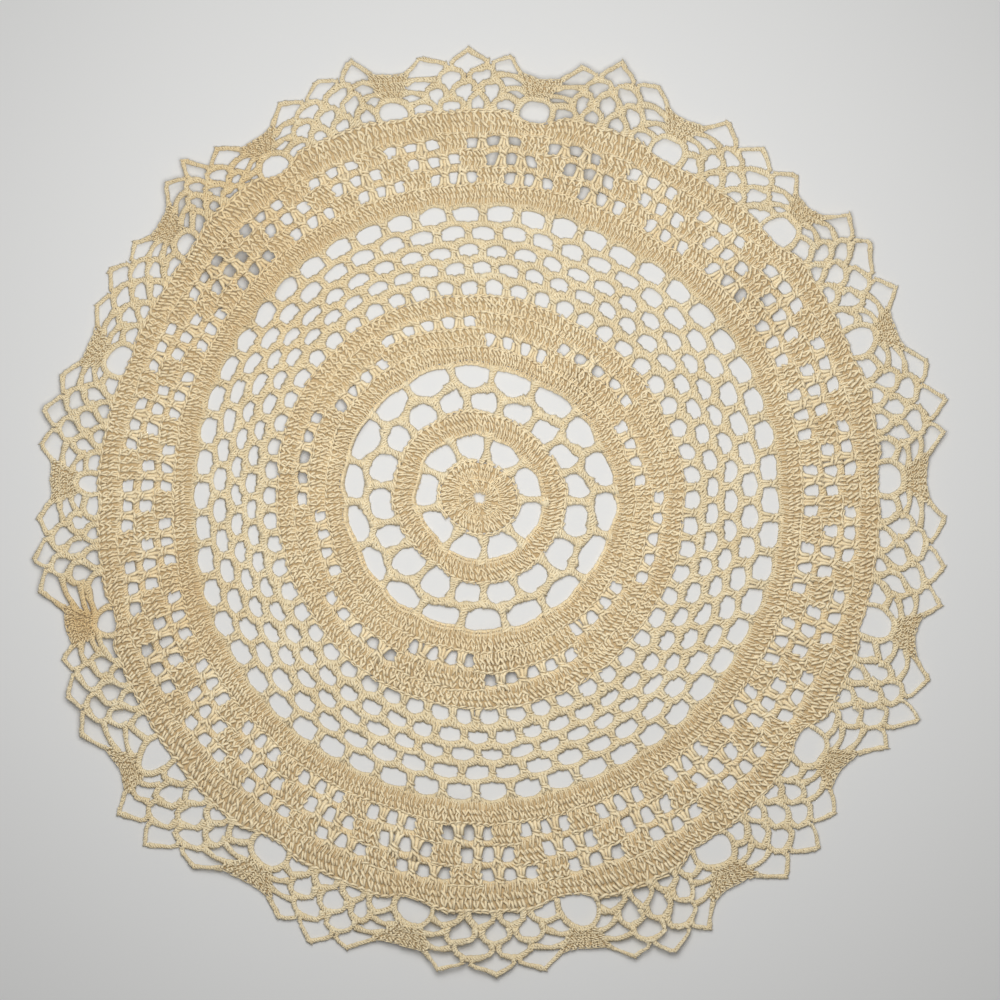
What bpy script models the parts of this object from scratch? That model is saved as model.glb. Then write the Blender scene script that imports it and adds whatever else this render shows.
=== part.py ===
"""A round crocheted lace doily laid out flat.

One closed sheet of cloth: the scalloped rim, the net of loops round the hub, the five rounds of
open mesh and the net of the edging. Angles are in degrees, anticlockwise from +X. Tables and
work are in millimetres from the hub of the doily, and the solid is placed in metres.
"""

import math
from typing import NamedTuple

import bpy
import numpy as np

MM = 0.001
THICKNESS = 1.5         # of the pressed cloth
STRAND = 1.5            # width of a chain, which parts two gaps

CLOTH_COLOR = (0.62, 0.49, 0.29, 1.0)
CLOTH_ROUGHNESS = 0.9

MESH_SPACES = 54        # in each round of open mesh
EDGE = 130.0            # head of the last dense round, on which the edging stands
WARP = 60               # direction in degrees towards which the hub is twisted most

HUB_TURN = 5.0          # degrees by which the hub is twisted against the rounds outside it
HUB_TURN_END = 47.0     # radius at which the twist has died out


class Lay(NamedTuple):
    """How far the cloth lies outside a true circle, on the line from the hub at one angle."""
    towards: float
    ring: float
    collar: float
    band: float
    belt: float
    border: float


LAY_RADII = (24.7, 47.5, 67.6, 101.5, 127.0)    # true radii of the five rounds in Lay

LAY = (
    Lay(0, 0.0, 0.3, -0.3, 2.0, 2.1),
    Lay(30, -0.3, -1.0, -1.3, 1.7, 2.0),
    Lay(60, -1.6, -2.5, -2.3, -1.3, -2.3),
    Lay(90, -1.0, -1.0, -0.7, -0.7, -3.6),
    Lay(120, 1.6, 1.8, 0.5, -0.3, -3.6),
    Lay(150, 2.3, 1.8, 0.7, -2.0, -5.3),
    Lay(180, 1.3, 0.0, -0.7, -3.3, -4.3),
    Lay(210, -0.7, 0.2, -0.2, -0.3, 0.3),
    Lay(240, -1.6, 0.0, 1.0, 1.3, 1.7),
    Lay(270, -0.7, -0.3, 2.0, 2.7, 4.6),
    Lay(300, 0.0, -0.3, 1.7, 2.3, 6.0),
    Lay(330, 0.0, 0.5, 0.2, 2.0, 3.6),
)


class Scallop(NamedTuple):
    """One repeat of the edging: where its arch and three tips point, and how far it reaches."""
    arch: float
    valley: float
    tip_1: float
    reach_1: float
    tip_2: float
    reach_2: float
    tip_3: float
    reach_3: float


SCALLOPS = (
    Scallop(2.5, 148.0, 8.0, 154.5, 12.0, 157.5, 17.0, 154.5),
    Scallop(22.0, 148.5, 27.0, 154.0, 33.5, 153.5, 37.5, 153.5),
    Scallop(41.5, 145.0, 45.5, 149.0, 51.0, 148.0, 56.5, 149.0),
    Scallop(61.5, 142.0, 66.5, 148.0, 72.0, 151.0, 76.5, 146.0),
    Scallop(81.5, 140.0, 86.0, 146.0, 91.5, 148.5, 98.0, 146.5),
    Scallop(102.0, 143.0, 106.5, 150.5, 111.5, 148.0, 117.0, 146.0),
    Scallop(121.5, 140.0, 127.0, 144.5, 131.5, 148.5, 135.0, 146.5),
    Scallop(139.0, 139.5, 143.5, 142.0, 148.5, 144.0, 153.5, 141.5),
    Scallop(158.5, 139.0, 163.5, 144.0, 168.5, 147.0, 173.0, 146.0),
    Scallop(177.5, 142.0, 182.5, 146.0, 188.0, 149.0, 192.0, 148.5),
    Scallop(198.0, 143.0, 201.0, 147.0, 205.5, 151.0, 210.5, 152.5),
    Scallop(217.0, 149.5, 221.0, 158.5, 226.0, 159.5, 232.0, 154.5),
    Scallop(238.5, 148.5, 244.5, 154.0, 249.0, 157.5, 253.5, 155.0),
    Scallop(260.0, 149.5, 265.0, 156.0, 272.0, 157.5, 278.0, 157.0),
    Scallop(282.5, 152.5, 288.5, 159.5, 293.0, 162.5, 298.0, 161.0),
    Scallop(302.5, 153.0, 309.0, 161.0, 314.0, 161.0, 318.5, 156.5),
    Scallop(323.0, 149.0, 328.5, 157.5, 333.0, 162.5, 338.0, 159.5),
    Scallop(342.5, 151.0, 347.0, 156.5, 351.5, 155.0, 357.5, 154.0),
)


class GapRound(NamedTuple):
    """A round of like gaps: the radii between which they lie, and half their width at each."""
    count: int
    first: float
    foot: float
    head: float
    foot_half: float
    head_half: float


HUB_ROUNDS = (
    GapRound(9, 18.0, 13.2, 19.8, 3.4, 5.4),
    GapRound(18, 5.0, 29.2, 34.8, 4.4, 3.2),
    GapRound(18, 14.5, 37.2, 43.6, 3.0, 5.6),
)


class MeshRound(NamedTuple):
    """A round of open mesh: the radii between which its gaps lie, and its first gap's angle."""
    foot: float
    head: float
    first: float


MESH = (
    MeshRound(68.6, 72.8, 6.0),
    MeshRound(74.4, 78.5, 9.3),
    MeshRound(80.1, 84.3, 6.0),
    MeshRound(85.9, 90.2, 9.3),
    MeshRound(91.8, 97.2, 6.0),
)


class Spot(NamedTuple):
    """A place in one repeat of the edging, from 0 to 1 each way."""
    across: float       # from the middle of this arch to the middle of the next
    outward: float      # from the last dense round to the rim


TIP_SPOTS = (0.0, 0.27, 0.50, 0.74, 1.0)        # arch, three tips and next arch, evenly worked

RIM = (
    Spot(0.00, 1.00), Spot(0.14, 0.93),
    Spot(0.27, 1.00), Spot(0.38, 0.93),
    Spot(0.50, 1.00), Spot(0.62, 0.93),
    Spot(0.74, 1.00), Spot(0.87, 0.93),
)

ARCH_GAP = (Spot(-0.125, 0.04), Spot(0.125, 0.04), Spot(0.09, 0.39), Spot(-0.09, 0.39))

NET_GAPS = (
    (Spot(0.35, 0.04), Spot(0.44, 0.31), Spot(0.35, 0.54), Spot(0.26, 0.31)),
    (Spot(0.53, 0.04), Spot(0.62, 0.31), Spot(0.53, 0.54), Spot(0.44, 0.31)),
    (Spot(0.71, 0.04), Spot(0.80, 0.31), Spot(0.71, 0.54), Spot(0.62, 0.31)),
    (Spot(0.44, 0.31), Spot(0.53, 0.54), Spot(0.42, 0.78), Spot(0.35, 0.54)),
    (Spot(0.62, 0.31), Spot(0.71, 0.54), Spot(0.63, 0.78), Spot(0.53, 0.54)),
    (Spot(0.34, 0.58), Spot(0.39, 0.90), Spot(0.22, 0.94)),
    (Spot(0.53, 0.54), Spot(0.62, 0.84), Spot(0.50, 1.00), Spot(0.39, 0.84)),
    (Spot(0.72, 0.58), Spot(0.79, 0.94), Spot(0.62, 0.90)),
)


def clear_scene():
    for thing in list(bpy.data.objects):
        bpy.data.objects.remove(thing)


def shift_at(radius, angle):
    """Reads how far the cloth lies outside its true circle, eased from one row of LAY to the next."""
    step = 360 / len(LAY)
    row, part = divmod(angle % 360, step)
    ease = (1 - math.cos(math.pi * part / step)) / 2
    here, after = LAY[int(row)], LAY[(int(row) + 1) % len(LAY)]
    shifts = [a + (b - a) * ease for a, b in zip(here[1:], after[1:])]
    return float(np.interp(radius, (0, *LAY_RADII), (0, *shifts)))


def polar(radius, angle):
    return radius * math.cos(math.radians(angle)), radius * math.sin(math.radians(angle))


def lay(radius, angle):
    """Puts a point of the round pattern where the cloth really lies."""
    turn = HUB_TURN * max(0.0, 1 - radius / HUB_TURN_END)
    angle += turn * (math.cos(math.radians(angle - WARP)) - 0.5)
    return polar(radius + shift_at(radius, angle), angle)


def edging(index, spot):
    """Puts a spot of one repeat of the edging where the cloth really lies."""
    if spot.across < 0:
        return edging((index - 1) % len(SCALLOPS), Spot(1 + spot.across, spot.outward))
    here, after = SCALLOPS[index], SCALLOPS[(index + 1) % len(SCALLOPS)]
    width = (after.arch - here.arch) % 360
    worked = [here.arch + width * share for share in TIP_SPOTS]
    lies = (here.arch, here.tip_1, here.tip_2, here.tip_3, here.arch + width)
    even = here.arch + width * spot.across
    angle = even + (float(np.interp(even, worked, lies)) - even) * spot.outward
    reaches = (here.valley, here.reach_1, here.reach_2, here.reach_3, after.valley)
    reach = float(np.interp(angle, lies, reaches))
    foot = EDGE + shift_at(EDGE, angle)
    return polar(foot + (reach - foot) * spot.outward, angle)


def shrunk(corners):
    """Draws a gap's corners in, which leaves a strand between it and the next."""
    middle_x = sum(x for x, y in corners) / len(corners)
    middle_y = sum(y for x, y in corners) / len(corners)
    reach = min(math.hypot(x - middle_x, y - middle_y) for x, y in corners)
    share = 1 - STRAND * 0.6 / reach
    return [(middle_x + (x - middle_x) * share, middle_y + (y - middle_y) * share) for x, y in corners]


def ring_gap(angle, foot, head, foot_half, head_half):
    """Four corners of a gap between two rounds."""
    at_foot, at_head = math.degrees(foot_half / foot), math.degrees(head_half / head)
    return [
        lay(foot, angle - at_foot), lay(foot, angle + at_foot),
        lay(head, angle + at_head), lay(head, angle - at_head),
    ]


def hub_gaps():
    for gaps in HUB_ROUNDS:
        for k in range(gaps.count):
            angle = gaps.first + 360 / gaps.count * k
            yield ring_gap(angle, gaps.foot, gaps.head, gaps.foot_half, gaps.head_half)


def mesh_gaps():
    """Spaces as wide as the posts and chains between them allow, in brick order."""
    for mesh in MESH:
        foot_half = math.pi * mesh.foot / MESH_SPACES - STRAND * 0.7
        head_half = math.pi * mesh.head / MESH_SPACES - STRAND * 0.7
        for k in range(MESH_SPACES):
            yield ring_gap(mesh.first + 360 / MESH_SPACES * k, mesh.foot, mesh.head, foot_half, head_half)


def edging_gaps():
    for index in range(len(SCALLOPS)):
        yield [edging(index, spot) for spot in ARCH_GAP]
        for gap in NET_GAPS:
            yield shrunk([edging(index, spot) for spot in gap])


def rim():
    return [edging(index, spot) for index in range(len(SCALLOPS)) for spot in RIM]


def middle_of(points):
    """Middle of the box round the points, which becomes the origin."""
    xs, ys = zip(*points)
    return (min(xs) + max(xs)) / 2, (min(ys) + max(ys)) / 2


def add_spline(curve, points, middle):
    spline = curve.splines.new("POLY")
    spline.points.add(len(points) - 1)
    for knot, (x, y) in zip(spline.points, points):
        knot.co = ((x - middle[0]) * MM, (y - middle[1]) * MM, 0, 1)
    spline.use_cyclic_u = True


def cotton():
    material = bpy.data.materials.new("ecru_cotton")
    material.use_nodes = True
    shader = material.node_tree.nodes["Principled BSDF"]
    shader.inputs["Base Color"].default_value = CLOTH_COLOR
    shader.inputs["Roughness"].default_value = CLOTH_ROUGHNESS
    shader.inputs["Metallic"].default_value = 0.0
    return material


def add_doily():
    """One flat filled outline with its gaps left open, given the cloth's thickness."""
    outline = rim()
    middle = middle_of(outline)
    curve = bpy.data.curves.new("doily", "CURVE")
    curve.dimensions = "2D"
    curve.fill_mode = "BOTH"
    curve.extrude = THICKNESS / 2 * MM
    add_spline(curve, outline, middle)
    for gaps in (hub_gaps(), mesh_gaps(), edging_gaps()):
        for gap in gaps:
            add_spline(curve, gap, middle)
    doily = bpy.data.objects.new("doily", curve)
    doily.location.z = THICKNESS / 2 * MM
    doily.data.materials.append(cotton())
    bpy.context.collection.objects.link(doily)


clear_scene()
add_doily()
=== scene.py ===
"""A round crocheted lace doily laid out flat, worked stitch by stitch.

Angles are in degrees, anticlockwise from +X. Tables and work are in millimetres from the hub of
the doily, and what is made is placed in metres. A stitch is modelled once, in a flat cell of its
own size, and copied into the cells of its round, which lie as the cloth lies.
"""

import math
from typing import NamedTuple

import bpy
import numpy as np
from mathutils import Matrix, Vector


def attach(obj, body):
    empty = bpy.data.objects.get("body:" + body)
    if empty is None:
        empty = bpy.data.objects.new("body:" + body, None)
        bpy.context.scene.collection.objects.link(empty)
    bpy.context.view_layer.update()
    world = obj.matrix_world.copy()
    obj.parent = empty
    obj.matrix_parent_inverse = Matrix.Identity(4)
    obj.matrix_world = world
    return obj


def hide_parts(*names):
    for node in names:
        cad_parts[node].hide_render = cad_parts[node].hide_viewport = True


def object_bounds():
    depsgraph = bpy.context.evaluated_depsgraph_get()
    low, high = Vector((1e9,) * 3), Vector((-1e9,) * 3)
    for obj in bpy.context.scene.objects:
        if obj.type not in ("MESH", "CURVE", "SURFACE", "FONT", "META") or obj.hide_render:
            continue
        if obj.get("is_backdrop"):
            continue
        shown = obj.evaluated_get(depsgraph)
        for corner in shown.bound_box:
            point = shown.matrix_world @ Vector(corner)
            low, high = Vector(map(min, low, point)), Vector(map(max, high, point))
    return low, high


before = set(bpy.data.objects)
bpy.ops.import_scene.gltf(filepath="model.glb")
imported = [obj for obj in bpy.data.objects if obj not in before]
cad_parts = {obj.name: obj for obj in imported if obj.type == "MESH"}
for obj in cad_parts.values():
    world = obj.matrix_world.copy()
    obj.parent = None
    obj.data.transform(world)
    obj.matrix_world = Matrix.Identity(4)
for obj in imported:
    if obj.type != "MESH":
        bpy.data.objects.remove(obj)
cad_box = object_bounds()

MM = 0.001
rng = np.random.default_rng(20)

# ---------------------------------------------------------------- how the cloth lies

EDGE = 130.0            # head of the last dense round, on which the edging stands
WARP = 60               # direction in degrees towards which the hub is twisted most
HUB_TURN = 5.0          # degrees by which the hub is twisted against the rounds outside it
HUB_TURN_END = 47.0     # radius at which the twist has died out


class Lay(NamedTuple):
    """How far the cloth lies outside a true circle, on the line from the hub at one angle."""
    towards: float
    ring: float
    collar: float
    band: float
    belt: float
    border: float


LAY_RADII = (24.7, 47.5, 67.6, 101.5, 127.0)    # true radii of the five rounds in Lay

LAY = (
    Lay(0, 0.0, 0.3, -0.3, 2.0, 2.1),
    Lay(30, -0.3, -1.0, -1.3, 1.7, 2.0),
    Lay(60, -1.6, -2.5, -2.3, -1.3, -2.3),
    Lay(90, -1.0, -1.0, -0.7, -0.7, -3.6),
    Lay(120, 1.6, 1.8, 0.5, -0.3, -3.6),
    Lay(150, 2.3, 1.8, 0.7, -2.0, -5.3),
    Lay(180, 1.3, 0.0, -0.7, -3.3, -4.3),
    Lay(210, -0.7, 0.2, -0.2, -0.3, 0.3),
    Lay(240, -1.6, 0.0, 1.0, 1.3, 1.7),
    Lay(270, -0.7, -0.3, 2.0, 2.7, 4.6),
    Lay(300, 0.0, -0.3, 1.7, 2.3, 6.0),
    Lay(330, 0.0, 0.5, 0.2, 2.0, 3.6),
)


class Scallop(NamedTuple):
    """One repeat of the edging: where its arch and three tips point, and how far it reaches."""
    arch: float
    valley: float
    tip_1: float
    reach_1: float
    tip_2: float
    reach_2: float
    tip_3: float
    reach_3: float


SCALLOPS = (
    Scallop(2.5, 148.0, 8.0, 154.5, 12.0, 157.5, 17.0, 154.5),
    Scallop(22.0, 148.5, 27.0, 154.0, 33.5, 153.5, 37.5, 153.5),
    Scallop(41.5, 145.0, 45.5, 149.0, 51.0, 148.0, 56.5, 149.0),
    Scallop(61.5, 142.0, 66.5, 148.0, 72.0, 151.0, 76.5, 146.0),
    Scallop(81.5, 140.0, 86.0, 146.0, 91.5, 148.5, 98.0, 146.5),
    Scallop(102.0, 143.0, 106.5, 150.5, 111.5, 148.0, 117.0, 146.0),
    Scallop(121.5, 140.0, 127.0, 144.5, 131.5, 148.5, 135.0, 146.5),
    Scallop(139.0, 139.5, 143.5, 142.0, 148.5, 144.0, 153.5, 141.5),
    Scallop(158.5, 139.0, 163.5, 144.0, 168.5, 147.0, 173.0, 146.0),
    Scallop(177.5, 142.0, 182.5, 146.0, 188.0, 149.0, 192.0, 148.5),
    Scallop(198.0, 143.0, 201.0, 147.0, 205.5, 151.0, 210.5, 152.5),
    Scallop(217.0, 149.5, 221.0, 158.5, 226.0, 159.5, 232.0, 154.5),
    Scallop(238.5, 148.5, 244.5, 154.0, 249.0, 157.5, 253.5, 155.0),
    Scallop(260.0, 149.5, 265.0, 156.0, 272.0, 157.5, 278.0, 157.0),
    Scallop(282.5, 152.5, 288.5, 159.5, 293.0, 162.5, 298.0, 161.0),
    Scallop(302.5, 153.0, 309.0, 161.0, 314.0, 161.0, 318.5, 156.5),
    Scallop(323.0, 149.0, 328.5, 157.5, 333.0, 162.5, 338.0, 159.5),
    Scallop(342.5, 151.0, 347.0, 156.5, 351.5, 155.0, 357.5, 154.0),
)


class Spot(NamedTuple):
    """A place in one repeat of the edging, from 0 to 1 each way."""
    across: float       # from the middle of this arch to the middle of the next
    outward: float      # from the last dense round to the rim


TIP_SPOTS = (0.0, 0.27, 0.50, 0.74, 1.0)        # arch, three tips and next arch, evenly worked

RIM = (
    Spot(0.00, 1.00), Spot(0.14, 0.93),
    Spot(0.27, 1.00), Spot(0.38, 0.93),
    Spot(0.50, 1.00), Spot(0.62, 0.93),
    Spot(0.74, 1.00), Spot(0.87, 0.93),
)


class Ripple(NamedTuple):
    """A place where the cloth stands off the surface it lies on."""
    towards: float      # direction from the hub, in degrees
    spread: float       # degrees to each side
    start: float        # radius at which it starts to rise
    rise: float         # height at the rim


RIPPLES = (
    Ripple(7, 5, 120, 1.2),
    Ripple(36, 5, 120, 1.4),
    Ripple(76, 14, 104, 2.4),
    Ripple(106, 4, 120, 1.2),
    Ripple(134, 7, 104, 2.0),
    Ripple(168, 6, 112, 1.8),
    Ripple(190, 6, 112, 1.8),
    Ripple(208, 7, 110, 2.0),
    Ripple(234, 4, 120, 1.4),
    Ripple(266, 14, 100, 2.2),
    Ripple(292, 8, 108, 2.0),
)


class Hump(NamedTuple):
    """A place inside the cloth that stands off the surface, in millimetres from the hub."""
    x: float
    y: float
    reach: float
    rise: float


HUMPS = (
    Hump(-79, 79, 13, 4.5),
    Hump(7, 114, 10, 3.2),
    Hump(33, 106, 9, 3.2),
    Hump(86, 65, 9, 3.2),
    Hump(33, 40, 8, 2.8),
    Hump(-46, 27, 8, 2.6),
    Hump(-59, 12, 9, 3.2),
    Hump(4, -54, 10, 3.6),
    Hump(-30, -54, 10, 2.8),
    Hump(-8, -106, 8, 2.4),
    Hump(-114, -46, 12, 2.2),
)


def shift_at(radius, angle):
    """Reads how far the cloth lies outside its true circle, eased from one row of LAY to the next."""
    step = 360 / len(LAY)
    row, part = divmod(angle % 360, step)
    ease = (1 - math.cos(math.pi * part / step)) / 2
    here, after = LAY[int(row)], LAY[(int(row) + 1) % len(LAY)]
    shifts = [a + (b - a) * ease for a, b in zip(here[1:], after[1:])]
    return float(np.interp(radius, (0, *LAY_RADII), (0, *shifts)))


def polar(radius, angle):
    """A point at a radius and an angle from the hub."""
    return radius * math.cos(math.radians(angle)), radius * math.sin(math.radians(angle))


def lay(radius, angle):
    """Puts a point of the round pattern where the cloth really lies."""
    turn = HUB_TURN * max(0.0, 1 - radius / HUB_TURN_END)
    angle += turn * (math.cos(math.radians(angle - WARP)) - 0.5)
    return polar(radius + shift_at(radius, angle), angle)


def edging(index, spot):
    """Puts a spot of one repeat of the edging where the cloth really lies."""
    if spot.across < 0:
        return edging((index - 1) % len(SCALLOPS), Spot(1 + spot.across, spot.outward))
    here, after = SCALLOPS[index], SCALLOPS[(index + 1) % len(SCALLOPS)]
    width = (after.arch - here.arch) % 360
    worked = [here.arch + width * share for share in TIP_SPOTS]
    lies = (here.arch, here.tip_1, here.tip_2, here.tip_3, here.arch + width)
    even = here.arch + width * spot.across
    angle = even + (float(np.interp(even, worked, lies)) - even) * spot.outward
    reaches = (here.valley, here.reach_1, here.reach_2, here.reach_3, after.valley)
    reach = float(np.interp(angle, lies, reaches))
    foot = EDGE + shift_at(EDGE, angle)
    return polar(foot + (reach - foot) * spot.outward, angle)


MEAN_REACH = 152        # radius of the rim's tips, on average


def lift(x, y):
    """Height of the cloth's underside over the surface, for arrays of places."""
    radius = np.hypot(x, y)
    angle = np.degrees(np.arctan2(y, x))
    height = np.zeros_like(radius)
    for ripple in RIPPLES:
        off = (angle - ripple.towards + 180) % 360 - 180
        beside = np.exp(-(off / ripple.spread * 1.5) ** 2)
        outward = np.clip((radius - ripple.start) / (MEAN_REACH - ripple.start), 0, 1.2)
        height += ripple.rise * beside * outward * (2 - outward)
    for hump in HUMPS:
        height += hump.rise * np.exp(-((x - hump.x) ** 2 + (y - hump.y) ** 2) / hump.reach ** 2)
    return height


class Swing(NamedTuple):
    """One slow swing of the cloth in its own plane, all in millimetres but the two angles."""
    length: float
    reach: float
    towards: float
    phase: float
    sway: float         # direction in which the cloth moves


SWINGS = tuple(
    Swing(length, reach, *rng.uniform(0, 2 * math.pi, 3))
    for length, reach in ((31, 0.14), (22, 0.14), (16, 0.13), (12, 0.12), (9.5, 0.11)) * 2
)


def swung(x, y):
    """Moves places a little in the plane, as loose work lies."""
    moved_x, moved_y = x, y
    for swing in SWINGS:
        along = x * math.cos(swing.towards) + y * math.sin(swing.towards)
        step = swing.reach * np.sin(2 * math.pi * along / swing.length + swing.phase)
        moved_x = moved_x + step * math.cos(swing.sway)
        moved_y = moved_y + step * math.sin(swing.sway)
    return moved_x, moved_y


def middle_of_rim():
    """Middle of the box round the rim, which is the origin of the frame."""
    points = [edging(index, spot) for index in range(len(SCALLOPS)) for spot in RIM]
    xs, ys = zip(*points)
    return (min(xs) + max(xs)) / 2, (min(ys) + max(ys)) / 2


MIDDLE = middle_of_rim()


def placed(points):
    """Turns millimetres from the hub into metres in the frame, on the cloth as it lies."""
    out = np.array(points, float)
    out[..., 2] += lift(out[..., 0], out[..., 1])
    out[..., 0], out[..., 1] = swung(out[..., 0], out[..., 1])
    out[..., 0] -= MIDDLE[0]
    out[..., 1] -= MIDDLE[1]
    return out * MM


# ---------------------------------------------------------------- the stitches

THREAD = 0.33           # radius of the cotton thread


class Stitch(NamedTuple):
    """A stitch modelled in a cell of its own size, with the foot of the cell on the X axis."""
    width: float
    height: float
    points: np.ndarray
    corners: np.ndarray     # the point at each corner of each face, face after face
    sizes: np.ndarray       # how many corners each face has
    wraps: np.ndarray       # UV of each corner: along the strand in mm, and once round it


class Strand(NamedTuple):
    """One run of thread in a stitch: its points, and its thickness against the thread's."""
    thickness: float
    points: tuple


FEET_OF_STITCH = (
    Strand(1.15, ((-0.70, -0.45, 1.00), (-0.50, 1.75, 1.25))),
    Strand(1.15, ((0.62, -0.45, 1.00), (0.66, 1.20, 1.20))),
    Strand(1.60, ((0.05, -0.20, 0.42), (-0.05, 5.80, 0.45))),
)

TOP_OF_STITCH = (
    Strand(1.20, ((-1.20, 5.75, 1.10), (0.00, 5.55, 1.60), (1.20, 6.20, 1.15))),
    Strand(1.00, ((-1.20, 6.40, 0.95), (1.20, 5.95, 1.00))),
)

UPRIGHT_CROCHET = FEET_OF_STITCH + (
    Strand(1.30, ((-0.95, 3.20, 1.15), (0.10, 2.16, 1.70), (1.00, 1.18, 1.20))),
    Strand(1.15, ((0.40, 2.10, 1.10), (0.92, 3.68, 1.30))),
    Strand(1.25, ((-0.80, 2.95, 1.15), (-0.58, 5.27, 1.35))),
    Strand(1.25, ((-0.35, 5.15, 1.30), (0.30, 4.42, 1.65), (0.88, 3.44, 1.20))),
) + TOP_OF_STITCH

SLANTED_CROCHET = FEET_OF_STITCH + (
    Strand(1.25, ((0.02, 1.00, 1.20), (-0.95, 2.89, 1.35))),
    Strand(1.30, ((1.12, 1.30, 1.15), (0.60, 2.34, 1.60), (0.00, 3.38, 1.20))),
    Strand(1.30, ((0.18, 3.26, 1.20), (-0.35, 4.29, 1.60), (-0.90, 5.27, 1.20))),
    Strand(1.25, ((1.02, 3.62, 1.20), (0.18, 5.45, 1.40))),
) + TOP_OF_STITCH

FORKED_CROCHET = FEET_OF_STITCH + (
    Strand(1.25, ((-0.98, 1.43, 1.15), (-0.12, 3.38, 1.45))),
    Strand(1.25, ((0.98, 1.24, 1.15), (0.22, 3.20, 1.50))),
    Strand(1.30, ((-0.95, 3.56, 1.20), (-0.08, 5.39, 1.45))),
    Strand(1.25, ((0.95, 3.38, 1.20), (0.60, 4.42, 1.60), (0.18, 5.33, 1.30))),
) + TOP_OF_STITCH


def long_foot(foot):
    """A foot of a stitch made longer, so that it goes round the chains it is worked over."""
    side = foot.points[0][0] * 0.72
    return Strand(0.84, ((side, -1.25, 0.85), (side, -0.10, 1.40), foot.points[1]))


def over_chain(strands):
    """The same stitch with its two feet, which come first, made longer."""
    return (long_foot(strands[0]), long_foot(strands[1]), *strands[2:])


POST = (
    Strand(1.10, ((-1.02, -0.55, 0.85), (-0.62, 0.70, 1.15), (-0.50, 3.00, 1.20))),
    Strand(1.10, ((1.02, -0.50, 0.85), (0.62, 0.75, 1.15), (0.50, 3.00, 1.20))),
    Strand(1.40, ((0.00, -0.90, 0.70), (0.00, 6.10, 0.70))),
    Strand(1.15, ((-0.70, 3.70, 0.95), (-0.04, 3.10, 1.55), (0.70, 2.40, 0.95))),
    Strand(1.15, ((-0.70, 4.90, 0.95), (0.00, 4.25, 1.55), (0.70, 3.40, 0.95))),
    Strand(1.10, ((-0.50, 3.90, 1.05), (-0.58, 5.00, 1.20), (-1.10, 6.05, 0.85))),
    Strand(1.10, ((0.50, 3.80, 1.05), (0.60, 4.90, 1.20), (1.10, 6.05, 0.85))),
)

TWISTED_CHAIN = (
    Strand(0.95, ((-0.60, 0.00, 0.84), (0.00, 0.75, 1.36), (0.60, 1.45, 0.86))),
    Strand(0.95, ((-0.59, 0.95, 0.84), (0.05, 1.65, 1.34), (0.59, 2.30, 0.86))),
    Strand(1.40, ((-0.40, -0.20, 0.76), (-0.42, 2.05, 0.76))),
    Strand(1.40, ((0.40, -0.20, 0.76), (0.42, 2.05, 0.76))),
)

CHAIN_MIDDLE = 0.90     # height of the middle of a chain, about which it rolls over
LOWEST = 0.06           # height that no strand goes under
PAINTED_SHADE_LOW, PAINTED_SHADE_HIGH = 0.5, 1.6   # heights of a strand between which its painted shade fades out: darkest low in the cloth, none high up


def deselect_all():
    """Leaves nothing selected, so that an operator acts on what is selected next."""
    bpy.ops.object.select_all(action="DESELECT")


def mesh_from(curve):
    """Puts a curve in the scene, and turns it into a mesh, which is left selected."""
    model = bpy.data.objects.new(curve.name, curve)
    bpy.context.collection.objects.link(model)
    deselect_all()
    model.select_set(True)
    bpy.context.view_layer.objects.active = model
    bpy.ops.object.convert(target="MESH")
    return bpy.context.object


def draw_line(curve, points):
    """Adds a straight-sided line through points to a curve."""
    spline = curve.splines.new("POLY")
    spline.points.add(len(points) - 1)
    for knot, point in zip(spline.points, points):
        knot.co = (*point, 1)
    return spline


def model_strand(strand, unevenness):
    """Models one run of thread as a round tube with closed ends, and reads its mesh."""
    curve = bpy.data.curves.new("strand", "CURVE")
    curve.dimensions = "3D"
    curve.bevel_depth = THREAD * strand.thickness
    curve.bevel_resolution = 0
    curve.use_fill_caps = True
    moved = np.array(strand.points) + rng.normal(0, unevenness, (len(strand.points), 3)) * (1, 1, 0.6)
    draw_line(curve, moved)
    model = mesh_from(curve)
    bpy.ops.object.mode_set(mode="EDIT")
    bpy.ops.mesh.select_all(action="SELECT")
    bpy.ops.mesh.remove_doubles(threshold=0.0001)
    bpy.ops.object.mode_set(mode="OBJECT")
    points = np.array([vertex.co for vertex in model.data.vertices])
    corners = np.array([loop.vertex_index for loop in model.data.loops])
    sizes = np.array([face.loop_total for face in model.data.polygons])
    wraps = np.array([corner.uv for corner in model.data.uv_layers[0].data])
    wraps[:, 0] *= np.linalg.norm(np.diff(moved, axis=0), axis=1).sum()
    bpy.data.objects.remove(model)
    return points, corners, sizes, wraps


def model_stitch(strands, width, height, unevenness):
    """Models the strands of one stitch, and puts them in one mesh."""
    parts = [model_strand(strand, unevenness) for strand in strands]
    starts = np.cumsum([0] + [len(part[0]) for part in parts])
    corners = [part[1] + start for part, start in zip(parts, starts)]
    points, sizes, wraps = (np.concatenate([part[k] for part in parts]) for k in (0, 2, 3))
    return Stitch(width, height, points, np.concatenate(corners), sizes, wraps)


def model_variants(strands, width, height, unevenness, count=4):
    """Models the same stitch several times, each a little different."""
    return [model_stitch(strands, width, height, unevenness) for _ in range(count)]


DOUBLE_CROCHETS = (UPRIGHT_CROCHET, SLANTED_CROCHET, FORKED_CROCHET)
VARIANTS = (5, 5, 2)    # of each of them, so that a forked one is rarer than the others


def model_double_crochets(kinds):
    """Models the ways in which a double crochet lies, in their numbers of variants."""
    stitches = []
    for strands, count in zip(kinds, VARIANTS):
        stitches += model_variants(strands, 2.5, 6.4, 0.14, count)
    return stitches


DC = model_double_crochets(DOUBLE_CROCHETS)
DC_OVER = model_double_crochets([over_chain(strands) for strands in DOUBLE_CROCHETS])
POSTS = model_variants(POST, 2.0, 6.0, 0.09, 6)
TWIST = model_variants(TWISTED_CHAIN, 1.7, 1.9, 0.05)


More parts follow.
